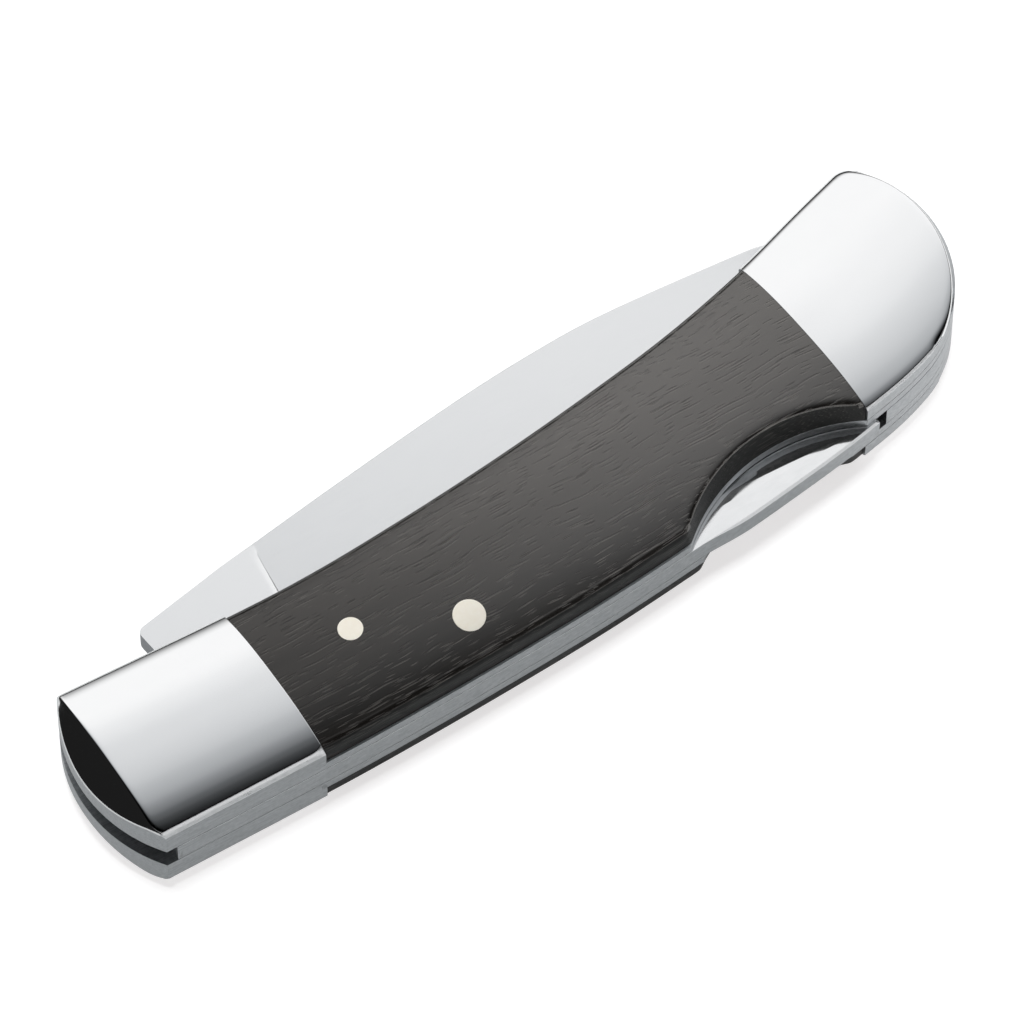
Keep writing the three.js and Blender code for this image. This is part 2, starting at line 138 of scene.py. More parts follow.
def withHeight(plan, height):
    return np.concatenate([plan, np.broadcast_to(height, plan.shape[:-1])[..., None]], axis=-1)


def easedShares(count, power):
    # shares from 0 to 1 that crowd towards both ends: t^p / (t^p + (1-t)^p)
    t = np.linspace(0, 1, count)
    return t ** power / (t ** power + (1 - t) ** power)


meshing = {"mergeWithin": 1.5e-6, "dropBelow": 1e-7, "leastStep": 2e-3, "shoulderDrop": 0.12}


def makePiece(name, patches, caps, materials, body, nodes, sharp=34, flipZ=False):
    # joins grids of points and flat caps into one closed mesh, and sets it riding on its body. Edges
    # sharper than so many degrees are shaded as edges.
    points, faces, finishes, start = [], [], [], 0
    for grid, finish in patches:
        rows, columns = grid.shape[:2]
        index = start + np.arange(rows * columns).reshape(rows, columns)
        quads = np.stack([index[:-1, :-1], index[1:, :-1], index[1:, 1:], index[:-1, 1:]], -1)
        faces += quads.reshape(-1, 4).tolist()
        finishes += np.broadcast_to(finish, (rows - 1, columns - 1)).reshape(-1).tolist()
        points.append(grid.reshape(-1, 3))
        start += rows * columns
    for loops, height, finish in caps:
        flat = np.concatenate(loops)
        triangles = tessellate_polygon([[(x, y, 0.0) for x, y in loop.tolist()] for loop in loops])
        faces += [[start + i for i in t] for t in triangles]
        finishes += [finish] * len(triangles)
        points.append(withHeight(flat, height))
        start += len(flat)
    points = np.concatenate(points) * (1, 1, -1 if flipZ else 1)
    mesh = bpy.data.meshes.new(name)
    mesh.from_pydata(((points + handle["shift"]) / 1000).tolist(), [], faces)
    mesh.polygons.foreach_set("material_index", finishes)
    shape = bmesh.new()
    shape.from_mesh(mesh)
    bmesh.ops.remove_doubles(shape, verts=shape.verts, dist=meshing["mergeWithin"])
    bmesh.ops.dissolve_degenerate(shape, dist=meshing["dropBelow"], edges=shape.edges)
    gaps = [edge for edge in shape.edges if len(edge.link_faces) == 1]
    bmesh.ops.holes_fill(shape, edges=gaps, sides=8)
    bmesh.ops.recalc_face_normals(shape, faces=shape.faces)
    for edge in shape.edges:
        edge.smooth = len(edge.link_faces) == 2 and edge.calc_face_angle() < math.radians(sharp)
    openEdges = sum(len(edge.link_faces) != 2 for edge in shape.edges)
    shape.to_mesh(mesh)
    shape.free()
    mesh.polygons.foreach_set("use_smooth", [True] * len(mesh.polygons))
    for material in materials:
        mesh.materials.append(material)
    piece = bpy.data.objects.new(name, mesh)
    bpy.context.scene.collection.objects.link(piece)
    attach(piece, body)
    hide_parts(*nodes)
    print(f"  {name}: {len(mesh.polygons)} faces, {openEdges} open edges")
    return piece


def standing(top, base, topFinish, sideFinish, foot=None, shoulder=np.inf):
    # A closed body under a grid of points: the grid, a wall from each of its four borders down to the
    # base, and a flat base. The wall leans out from its top to the foot's plan at min(z - drop, shoulder).
    patches = [(top, topFinish)]
    foot = top[..., :2] if foot is None else foot
    for at in (np.s_[0], np.s_[-1], np.s_[:, 0], np.s_[:, -1]):
        border, below = top[at], foot[at]
        middle = np.clip(border[:, 2] - meshing["shoulderDrop"], base, shoulder)
        patches.append((np.stack([border, withHeight(below, middle), withHeight(below, base)]), sideFinish))
    loop = np.concatenate([foot[0, :-1], foot[:-1, -1], foot[-1, :0:-1], foot[:0:-1, 0]])
    step = np.linalg.norm(loop - np.roll(loop, 1, axis=0), axis=1)
    return patches, [([loop[step > meshing["leastStep"]]], base, sideFinish)]


def plate(loop, low, high, lowIn, highIn, wallFinish, faceFinish, roundFinish=0, steps=5):
    # A flat plate: a chamfer (in, low), (0, low + in), then a quarter round
    # (r - r cos t, high - r + r sin t), carried round the loop, with a face below and above. High and the
    # insets may differ from point to point. Two steps make the quarter round a plain chamfer.
    lowIn, highIn, high = (np.broadcast_to(value, len(loop)) for value in (lowIn, highIn, high))
    ahead, behind = np.roll(loop, -1, axis=0), np.roll(loop, 1, axis=0)
    tangent = (ahead - behind) / np.linalg.norm(ahead - behind, axis=1)[:, None]
    area = np.sum(loop[:, 0] * ahead[:, 1] - ahead[:, 0] * loop[:, 1])
    inward = np.stack([-tangent[:, 1], tangent[:, 0]], -1) * (1 if area > 0 else -1)
    lowLoop = loop + inward * lowIn[:, None]
    rings = [withHeight(lowLoop, low), withHeight(loop, low + lowIn)]
    for turn in np.linspace(0, math.pi / 2, steps):
        inset = highIn * (1 - math.cos(turn))
        rings.append(withHeight(loop + inward * inset[:, None], high - highIn * (1 - math.sin(turn))))
    rings = np.stack(rings)
    rings = np.concatenate([rings, rings[:, :1]], axis=1)
    patches = [(rings[:3], wallFinish), (rings[2:], roundFinish)]
    rings = rings[:, :-1]
    return patches, [([lowLoop], low, faceFinish), ([rings[-1][:, :2]], high, faceFinish)]


def arcPoints(centre, radius, start, end, count):
    angle = np.linspace(start, end, count)
    return np.stack([centre[0] + radius * np.cos(angle), centre[1] + radius * np.sin(angle)], -1)


def angleOf(centre, point):
    return math.atan2(point[1] - centre[1], point[0] - centre[0])


# Materials
def node(tree, kind, inputs=None, **settings):
    made = tree.nodes.new("ShaderNode" + kind)
    for key, value in settings.items():
        setattr(made, key, value)
    for key, value in (inputs or {}).items():
        if isinstance(value, bpy.types.NodeSocket):
            tree.links.new(value, made.inputs[key])
        else:
            made.inputs[key].default_value = value
    return made


def startMaterial(name, **values):
    material = bpy.data.materials.new(name)
    material.use_nodes = True
    tree = material.node_tree
    shader = tree.nodes["Principled BSDF"]
    for key, value in values.items():
        shader.inputs[key].default_value = value
    place = node(tree, "TexCoord").outputs["Object"]
    return material, tree, shader, place


def stretched(tree, place, scale, turn=0.0):
    return node(tree, "Mapping", {"Vector": place, "Scale": scale, "Rotation": (0, 0, turn)}).outputs[0]


def ranged(tree, value, fromLow, fromHigh, toLow, toHigh, kind="SMOOTHSTEP"):
    return node(tree, "MapRange", {
        "Value": value, "From Min": fromLow, "From Max": fromHigh, "To Min": toLow, "To Max": toHigh,
    }, interpolation_type=kind).outputs[0]


def noise(tree, place, scale, detail=3.0, roughness=0.55):
    return node(tree, "TexNoise", {
        "Vector": place, "Scale": scale, "Detail": detail, "Roughness": roughness}).outputs[0]


def maths(tree, operation, a, b):
    return node(tree, "Math", {0: a, 1: b}, operation=operation).outputs[0]


def vectors(tree, operation, a, b, output="Vector"):
    return node(tree, "VectorMath", {0: a, 1: b}, operation=operation).outputs[output]


def mixed(tree, share, first, second, kind="MIX"):
    made = node(tree, "MixRGB", {"Fac": share, "Color1": first, "Color2": second}, blend_type=kind)
    return made.outputs[0]


streakShare = 0.65


def steel(name, looks):
    # metal with grinding lines along X: stretched noise that varies the tone, the roughness and a bump
    material, tree, shader, place = startMaterial(name, Metallic=looks.get("metallic", 1.0))
    streaks = noise(tree, stretched(tree, place, looks["streakScale"]), 1.0, 6.0, 0.62)
    blotches = noise(tree, stretched(tree, place, looks["blotchScale"]), 1.0, 3.0, 0.6)
    both = maths(tree, "ADD", maths(tree, "MULTIPLY", streaks, streakShare),
                 maths(tree, "MULTIPLY", blotches, 1 - streakShare))
    tone = mixed(tree, ranged(tree, both, 0.35, 0.65, 0.0, 1.0), looks["dark"], looks["light"])
    tree.links.new(tone, shader.inputs["Base Color"])
    rough = ranged(tree, both, 0.3, 0.7, *looks["roughness"])
    tree.links.new(rough, shader.inputs["Roughness"])
    bump = node(tree, "Bump", {"Strength": looks["bump"], "Distance": looks["bumpDepth"], "Height": both})
    tree.links.new(bump.outputs[0], shader.inputs["Normal"])
    return material


polishedLooks = {
    "dark": (0.93, 0.934, 0.94, 1), "light": (0.94, 0.944, 0.95, 1),
    "streakScale": (60, 220, 220), "blotchScale": (500, 500, 500),
    "roughness": (0.035, 0.06), "bump": 0.01, "bumpDepth": 1e-6,
}
satinLooks = {
    "dark": (0.36, 0.375, 0.39, 1), "light": (0.53, 0.545, 0.56, 1),
    "streakScale": (350, 9000, 9000), "blotchScale": (2200, 2200, 2600),
    "roughness": (0.30, 0.44), "bump": 0.35, "bumpDepth": 8e-6,
}
bladeLooks = {
    "metallic": 0.92, "dark": (0.875, 0.88, 0.888, 1), "light": (0.90, 0.905, 0.912, 1),
    "streakScale": (300, 3000, 3000), "blotchScale": (300, 300, 300),
    "roughness": (0.20, 0.26), "bump": 0.03, "bumpDepth": 2e-6,
}
barLooks = {
    "dark": (0.90, 0.905, 0.91, 1), "light": (0.94, 0.944, 0.95, 1),
    "streakScale": (500, 1500, 1500), "blotchScale": (500, 500, 500),
    "roughness": (0.05, 0.10), "bump": 0.02, "bumpDepth": 2e-6,
}
edgeLooks = {
    "dark": (0.74, 0.75, 0.765, 1), "light": (0.86, 0.87, 0.88, 1),
    "streakScale": (350, 6000, 6000), "blotchScale": (1200, 1200, 1200),
    "roughness": (0.26, 0.36), "bump": 0.1, "bumpDepth": 4e-6,
}
# dark steel for the pins and spring, and also for the blade's lead faces, where it is painted shade
springAndShadeLooks = {
    "dark": (0.26, 0.27, 0.29, 1), "light": (0.38, 0.39, 0.41, 1),
    "streakScale": (500, 5000, 5000), "blotchScale": (1500, 1500, 1500),
    "roughness": (0.38, 0.52), "bump": 0.2, "bumpDepth": 6e-6,
}
bronzeLooks = {
    "dark": (0.42, 0.25, 0.11, 1), "light": (0.56, 0.36, 0.17, 1),
    "streakScale": (700, 3000, 3000), "blotchScale": (1200, 1200, 1200),
    "roughness": (0.30, 0.42), "bump": 0.1, "bumpDepth": 4e-6,
}
pinLooks = {
    "metallic": 0.45, "dark": (0.94, 0.885, 0.765, 1), "light": (0.97, 0.925, 0.82, 1),
    "streakScale": (1800, 1800, 1800), "blotchScale": (600, 600, 600),
    "roughness": (0.30, 0.42), "bump": 0.04, "bumpDepth": 3e-6,
}
polished = steel("polishedSteel", polishedLooks)
satin = steel("satinSteel", satinLooks)
bladeSteel = steel("bladeSteel", bladeLooks)
barSteel = steel("barSteel", barLooks)
edgeSteel = steel("edgeSteel", edgeLooks)
springSteelAndShade = steel("springSteelAndShade", springAndShadeLooks)
bronze = steel("bronze", bronzeLooks)
paleAlloy = steel("paleAlloy", pinLooks)

woodLooks = {
    "deep": (0.0028, 0.0025, 0.0022, 1), "mid": (0.0075, 0.0066, 0.0057, 1),
    # the pale lip tone below is a painted highlight beside each pore
    "pore": (0.0015, 0.0014, 0.0013, 1), "lipHighlightTone": (0.13, 0.122, 0.112, 1), "tint": (1.0, 0.965, 0.935, 1),
    # specular rises over the X range named along: a painted sheen, darker at the front, brighter towards
    # the butt
    "specular": (0.42, 1.0), "along": (-0.034, 0.022), "ior": 1.72, "roughness": (0.15, 0.22),
    "grainTurn": -0.035, "warpScale": 90.0, "warp": 0.0016,
    "bandScale": (45, 900, 900), "fibreScale": (420, 8500, 8500), "fibreShare": 0.7,
    "poreDark": 0.85, "poreRough": 0.25, "paleAside": 8.5e-5, "paleShare": 0.5,
    "bump": 0.5, "bumpDepth": 3e-5, "fibreBump": 0.45, "rimWidth": 0.16, "rimDark": 0.9,
}
cutLooks = {
    **woodLooks, "deep": (0.0045, 0.005, 0.005, 1), "mid": (0.010, 0.011, 0.011, 1),
    "specular": (0.15, 0.18), "roughness": (0.42, 0.55), "bump": 0.4,
}
poreStrokes = (
    {"scale": (60, 4400, 4400), "seed": (5.2, 3.3, 8.1), "width": 0.24},
    {"scale": (140, 5200, 5200), "seed": (3.1, 7.7, 1.3), "width": 0.26},
    {"scale": (330, 7200, 7200), "seed": (8.4, 2.6, 5.9), "width": 0.28},
)
strokesKept = 0.30


def strokes(tree, place, scale, seed, width):
    # short strokes along the grain: ellipsoids round the seeds of a stretched Voronoi pattern, kept
    # where the seed's own random number is above a share
    moved = vectors(tree, "ADD", stretched(tree, place, scale), seed)
    cells = node(tree, "TexVoronoi", {"Vector": moved, "Scale": 1.0, "Randomness": 1.0})
    shade = ranged(tree, cells.outputs["Distance"], width, width * 0.45, 0.0, 1.0)
    pick = node(tree, "SeparateColor", {0: cells.outputs["Color"]}).outputs[0]
    return maths(tree, "MULTIPLY", shade, ranged(tree, pick, strokesKept, strokesKept + 0.04, 0.0, 1.0))


def wood(name, looks):
    # dark wood: a tone from noise along the grain, with dark pores, a painted highlight as a pale lower lip
    # beside each pore, and a dark rim round each pin where the distance from its centre lies just outside
    # its radius. Its specular level grows along X, a painted sheen that leaves the wood darker at the front
    # and brighter towards the butt.
    settings = {"IOR": looks["ior"], "Specular Tint": looks["tint"]}
    material, tree, shader, place = startMaterial(name, **settings)
    along = node(tree, "SeparateXYZ", {0: place}).outputs[0]
    # painted sheen: the specular level rises along X, so the wood reads darker at the front and brighter
    # towards the butt
    sheenAlongX = ranged(tree, along, *looks["along"], *looks["specular"])
    tree.links.new(sheenAlongX, shader.inputs["Specular IOR Level"])
    warp = noise(tree, place, looks["warpScale"], 2.0)
    bent = node(tree, "VectorMath", {
        0: node(tree, "CombineXYZ", {"Y": maths(tree, "SUBTRACT", warp, 0.5)}).outputs[0],
        1: (0, looks["warp"], 0), 2: place}, operation="MULTIPLY_ADD").outputs[0]
    grain = stretched(tree, bent, (1, 1, 1), looks["grainTurn"])
    bands = noise(tree, stretched(tree, grain, looks["bandScale"]), 1.0, 6.0, 0.65)
    fibres = noise(tree, stretched(tree, grain, looks["fibreScale"]), 1.0, 3.0, 0.6)

    def poresAt(where):
        long, middling, short = (strokes(tree, where, **stroke) for stroke in poreStrokes)
        return maths(tree, "MAXIMUM", maths(tree, "MAXIMUM", long, middling), short)

    pores = poresAt(grain)
    # painted highlight: a pale lip on the lower side of each pore, where light would catch the groove's
    # wall
    above = vectors(tree, "ADD", grain, (0, looks["paleAside"], 0))
    lipHighlights = maths(tree, "SUBTRACT", poresAt(above), pores)
    tone = mixed(tree, ranged(tree, bands, 0.32, 0.68, 0.0, 1.0), looks["deep"], looks["mid"])
    grey = node(tree, "CombineColor", {i: fibres for i in range(3)}).outputs[0]
    fibred = mixed(tree, looks["fibreShare"], tone, grey, "OVERLAY")
    pale = mixed(tree, ranged(tree, lipHighlights, 0.1, 1.0, 0.0, looks["paleShare"]), fibred, looks["lipHighlightTone"])
    colour = mixed(tree, maths(tree, "MULTIPLY", pores, looks["poreDark"]), pale, looks["pore"])
    flat = vectors(tree, "MULTIPLY", place, (1, 1, 0))
    for (x, y), radius in (handle["scalePin"], handle["barPin"]):
        centre = ((x + handle["shift"][0]) / 1000, (y + handle["shift"][1]) / 1000, 0)
        away = vectors(tree, "DISTANCE", flat, centre, "Value")
        outer = (radius + looks["rimWidth"]) / 1000
        rim = ranged(tree, away, radius / 1000, outer, looks["rimDark"], 0.0)
        colour = mixed(tree, rim, colour, looks["pore"])
    tree.links.new(colour, shader.inputs["Base Color"])
    rough = ranged(tree, bands, 0.3, 0.7, *looks["roughness"])
    rough = maths(tree, "ADD", rough, maths(tree, "MULTIPLY", pores, looks["poreRough"]))
    tree.links.new(rough, shader.inputs["Roughness"])
    height = maths(tree, "SUBTRACT", maths(tree, "MULTIPLY", fibres, looks["fibreBump"]), pores)
    bump = node(tree, "Bump", {"Strength": looks["bump"], "Distance": looks["bumpDepth"], "Height": height})
    tree.links.new(bump.outputs[0], shader.inputs["Normal"])
    return material


ebony = wood("ebony", woodLooks)
ebonyCut = wood("ebonyCut", cutLooks)
print("materials made")

# Camera, at the photograph's angle
view = {"distance": 0.9588, "tilt": 27.5, "turn": -30.0, "lens": 351.56}
tilt, turn = math.radians(view["tilt"]), math.radians(view["turn"])
towards = (math.sin(turn) * math.sin(tilt), -math.cos(turn) * math.sin(tilt), math.cos(tilt))
camera = bpy.data.objects.new("camera", bpy.data.cameras.new("camera"))
camera.data.lens = view["lens"]
camera.data.sensor_width = 36.0
camera.data.clip_start = 0.01
camera.location = [t / 1000 + view["distance"] * d for t, d in zip(handle["shift"], towards)]
camera.rotation_euler = (tilt, 0, turn)
bpy.context.scene.collection.objects.link(camera)
bpy.context.scene.camera = camera

# Front bolsters
sides = (("top", False), ("bottom", True))
frontLooks = {
    "wallTop": 4.35, "edgeIn": 0.5, "edgeBulge": 0.08, "openRound": 0.36,
    "cornerRun": 1.3, "cornerExtra": 0.5,
    "bevelStation": 1.0, "bevelSlope": 1.0, "crestRound": 0.1, "wrapRun": 2.2, "wrapReach": 1.4,
    "noseRound": 0.1, "jointRound": 0.04,
    "rows": 56, "rowEase": 1.35, "bevelColumns": 26, "bevelEase": 1.8, "columns": 60, "columnEase": 1.9,
}


def sectionRows(looks):
    # shares that place each row of a bolster: across = edge * alpha + middle * mu + openRound * omega
    alpha = np.array([0, 0.06, 0.15, 0.3, 0.5, 0.7, 0.88, 1.0])
    mu = easedShares(looks["rows"], looks["rowEase"])[1:]
    omega = np.array([0.15, 0.32, 0.48, 0.62, 0.74, 0.84, 0.92, 0.97, 1.0])
    zeros = np.zeros_like
    return (np.concatenate([alpha, np.ones_like(mu), np.ones_like(omega)]),
            np.concatenate([zeros(alpha), mu, np.ones_like(omega)]),
            np.concatenate([zeros(alpha), zeros(mu), omega]), len(alpha) - 1)


def bolsterSection(station, shares, looks, toJoint):
    # plan point of each row, and its share g of the rounded chamfer wallTop + (crown - wallTop) g over the
    # back edge, g = alpha + bulge sin(pi alpha)
    alpha, mu, omega = (s[:, None] for s in shares[:3])
    edge = looks["edgeIn"] + looks["cornerExtra"] * quarter(toJoint(station), looks["cornerRun"])
    width = widthAt(station)
    across = edge * alpha + (width - edge - looks["openRound"]) * mu + looks["openRound"] * omega
    plan, _ = ruled(station, across)
    chamfer = alpha + looks["edgeBulge"] * np.sin(math.pi * alpha)
    return plan, across, edge, width, chamfer


def frontTop(looks):
    shares = sectionRows(looks)
    edgeRows = (shares[0] < 1)[:, None]
    jointX = backAt(handle["frontJoint"])[0]
    bevelX = backAt(looks["bevelStation"])[0]

    def toJoint(station):
        return jointX - backAt(station)[..., 0]

    def section(station):
        return bolsterSection(station, shares, looks, toJoint)

    def past(station, across):
        wrap = looks["wrapReach"] * quarter(across, looks["wrapRun"])
        return bevelX - backAt(station)[..., 0] + wrap

    rows = len(shares[0])
    nose = halving(lambda s: distance(section(s)[0], handle["noseCentre"]) < handle["noseRadius"],
                   np.full((rows, 1), handle["frontJoint"]), 0.0)
    crest = halving(lambda s: past(s, section(s)[1]) > 0, np.full((rows, 1), 0.2), handle["frontJoint"])
    startX, crestX = section(nose)[0][..., 0], section(np.maximum(nose, crest))[0][..., 0]
    endX = section(np.full((rows, 1), handle["frontJoint"]))[0][..., 0]
    bevelShares = easedShares(looks["bevelColumns"], looks["bevelEase"])[:-1]
    mainShares = easedShares(looks["columns"], looks["columnEase"])
    onBevel, onMain = startX + (crestX - startX) * bevelShares, crestX + (endX - crestX) * mainShares
    targetX = np.concatenate([onBevel, onMain], 1)
    station = halving(lambda s: section(s)[0][..., 0] < targetX,
                      np.zeros_like(targetX), handle["frontJoint"] + 0.02)
    station[:, -1] = handle["frontJoint"]
    station[:, 0] = nose[:, 0]
    plan, across, edge, width, chamfer = section(station)
    reach = past(station, np.where(edgeRows, edge, across))
    fall = looks["bevelSlope"] * (reach + np.sqrt(reach ** 2 + looks["crestRound"] ** 2)) / 2
    height = crown(np.where(edgeRows, edge, across), width) - fall
    height = np.where(edgeRows, looks["wallTop"] + (height - looks["wallTop"]) * chamfer, height)
    height -= roundOver(width - across, looks["openRound"])
    height -= roundOver(handle["noseRadius"] - distance(plan, handle["noseCentre"]), looks["noseRound"])
    height -= roundOver(endX - plan[..., 0], looks["jointRound"])
    finish = np.broadcast_to(np.where(np.arange(rows - 1) < shares[3], 2, 0)[:, None],
                             (rows - 1, plan.shape[1] - 1))
    return withHeight(plan, height), finish


frontGrid, frontFinish = frontTop(frontLooks)
for side, flip in sides:
    patches, caps = standing(frontGrid, handle["linerHalf"], frontFinish, 1)
    makePiece(f"frontBolster_{side}", patches, caps, [polished, satin, edgeSteel], "handle",
              [f"front_bolster_{side}"], flipZ=flip)
print("front bolsters made")

# Rear bolsters
rearLooks = {
    "wallTop": 4.5, "edgeIn": 0.25, "edgeBulge": 0.08, "openRound": 0.4,
    "cornerRun": 1.3, "cornerExtra": 0.2, "buttRound": 0.2, "buttBlend": 0.12, "jointRound": 0.04,
    "fall": 0.62, "brows": {"back": (0.05, 2), "butt": (0.13, 3), "open": (0.1, 2)}, "browRun": 0.9,
    "seam": 0.08, "rows": 64, "rowEase": 1.35, "columns": 110, "columnEase": 1.9, "searchFrom": 8.9,
}


def cornerCentre(station):
    # the open edge's point moved in by the corner's radius, square to the edge
    point = openAt(station)
    along = openAt(station + 0.005) - openAt(station - 0.005)
    along /= np.linalg.norm(along)
    return point + handle["buttCorner"] * np.array([along[1], -along[0]])


def cornerFits(station):
    reach = distance(cornerCentre(station), handle["buttCentre"])
    return reach < handle["buttRadius"] - handle["buttCorner"]


cornerStation = float(halving(cornerFits, handle["rearJoint"], handle["lastStation"] - 0.01))
corner = cornerCentre(cornerStation)
cornerTurn = angleOf(handle["buttCentre"], corner)
cornerStart = angleOf(corner, openAt(cornerStation))


def rearTop(looks):
    # As the front, less fall ((s - joint) / (last - joint))^2 and a brow drop (1 - d / run)^power near both
    # edges and the butt, out to the butt's circle, whose radius shrinks by lean (z - leanFrom) above that
    # height. Round the corner the open edge's rounding turns into the butt's with the angle. Also returns
    # the plan of the wall's foot.
    shares = sectionRows(looks)
    rows = len(shares[0])
    edgeRows = (shares[0] < 1)[:, None]
    jointX = backAt(handle["rearJoint"])[0]
    run = handle["lastStation"] - handle["rearJoint"]

    def brow(inside, name):
        drop, power = looks["brows"][name]
        return drop * np.clip(1 - np.clip(inside, 0, None) / looks["browRun"], 0, 1) ** power

    def toJoint(station):
        return backAt(station)[..., 0] - jointX

    def surface(station):
        plan, across, edge, width, chamfer = bolsterSection(station, shares, looks, toJoint)
        height = crown(np.where(edgeRows, edge, across), width) - brow(across - edge, "back")
        height = np.where(edgeRows, looks["wallTop"] + (height - looks["wallTop"]) * chamfer, height)
        height -= looks["fall"] * ((station - handle["rearJoint"]) / run) ** 2
        inset = handle["lean"] * np.clip(height - handle["leanFrom"], 0, None)
        toButt = handle["buttRadius"] - inset - distance(plan, handle["buttCentre"])
        toCorner = handle["buttCorner"] - inset - distance(plan, corner)
        return plan, across, width, height, inset, toButt, toCorner

    def turnAt(plan):
        return np.arctan2(plan[..., 1] - handle["buttCentre"][1], plan[..., 0] - handle["buttCentre"][0])

    end = halving(lambda s: surface(s)[5] > 0,
                  np.full((rows, 1), looks["searchFrom"]), handle["lastStation"])
    cornerEnd = halving(lambda s: surface(s)[6] > 0,
                        np.full((rows, 1), cornerStation), handle["lastStation"])
    end = np.where(turnAt(surface(end)[0]) > cornerTurn, cornerEnd, end)
    shareAlong = easedShares(looks["columns"], looks["columnEase"])
    station = handle["rearJoint"] + (end - handle["rearJoint"]) * shareAlong
    plan, across, width, height, inset, toButt, toCorner = surface(station)
    inCorner = (station > cornerStation) & (turnAt(plan) > cornerTurn)
    toEdge = np.where(inCorner, toCorner, toButt)
    buttStart = angleOf(handle["buttCentre"], backAt(handle["buttStation"]))
    onButt = softStep((turnAt(plan) - buttStart) / looks["buttBlend"])
    turned = np.arctan2(plan[..., 1] - corner[1], plan[..., 0] - corner[0])
    roundCorner = np.where(inCorner, softStep((cornerStart - turned) / (cornerStart - cornerTurn)), 0)
    onButt = np.where(inCorner, roundCorner, onButt)
    toRim = np.where(edgeRows, looks["browRun"], toEdge)
    height -= onButt * (roundOver(toRim, looks["buttRound"]) + brow(toRim, "butt"))
    toOpen = np.where(inCorner, toCorner, width - across)
    height -= (1 - roundCorner) * (roundOver(toOpen, looks["openRound"]) + brow(toOpen, "open"))
    height -= roundOver(np.hypot(*np.moveaxis(plan - plan[:, :1], -1, 0)), looks["jointRound"])
    middle = np.where(inCorner[..., None], corner, handle["buttCentre"])
    outward = (plan - middle) / distance(plan, middle)[..., None]
    foot = plan.copy()
    foot[:, -1] += (outward * inset[..., None])[:, -1]
    finish = np.broadcast_to(np.where(np.arange(rows - 1) < shares[3], 2, 0)[:, None],
                             (rows - 1, plan.shape[1] - 1))
    return withHeight(plan, height), finish, foot


rearGrid, rearFinish, rearFoot = rearTop(rearLooks)
for side, flip in sides:
    patches, caps = standing(rearGrid, handle["linerHalf"] + rearLooks["seam"], rearFinish, 1, rearFoot,
                             handle["leanFrom"])
    makePiece(f"rearBolster_{side}", patches, caps, [polished, satin, edgeSteel], "handle",
              [f"rear_bolster_{side}"], flipZ=flip)
print("rear bolsters made")

# Scales
scaleLooks = {
    "profile": np.array([
        [0.25, 2.6], [0.26, 3.2], [0.28, 3.9], [0.30, 4.4], [0.33, 4.62], [0.40, 4.77], [0.52, 4.90],
        [0.68, 5.02], [0.84, 5.12], [1.0, 5.2]]),
    "notchFlare": 0.18, "rimFall": 0.3, "rimRun": 1.1, "blendStart": 0.2, "blendRun": 1.4,
    "cornerSoftness": 0.12, "seam": 0.02, "below": 0.012, "uprightRows": 6, "sharpDegrees": 40,
    "rows": 58, "rowEase": 1.5, "columns": 380,
}


def circleAcross(station, radius, centre):
    # distance across at which the ruled line of a station leaves the notch's circle: the larger root of
    # |B + a u - C| = R, far below nothing where the line misses the circle
    back, away = backAt(station), openAt(station)
    unit = (away - back) / np.linalg.norm(away - back, axis=-1)[..., None]
    offset = back - np.asarray(centre)
    along = np.sum(offset * unit, axis=-1)
    under = along ** 2 - np.sum(offset ** 2, axis=-1) + radius ** 2
    return np.where(under > 0, -along + np.sqrt(np.maximum(under, 0)), -5.0)


def softMax(a, b, softness):
    # (a + b + sqrt((a - b)^2 + k^2)) / 2, the larger of two with a rounded crossing
    return (a + b + np.sqrt((a - b) ** 2 + softness ** 2)) / 2


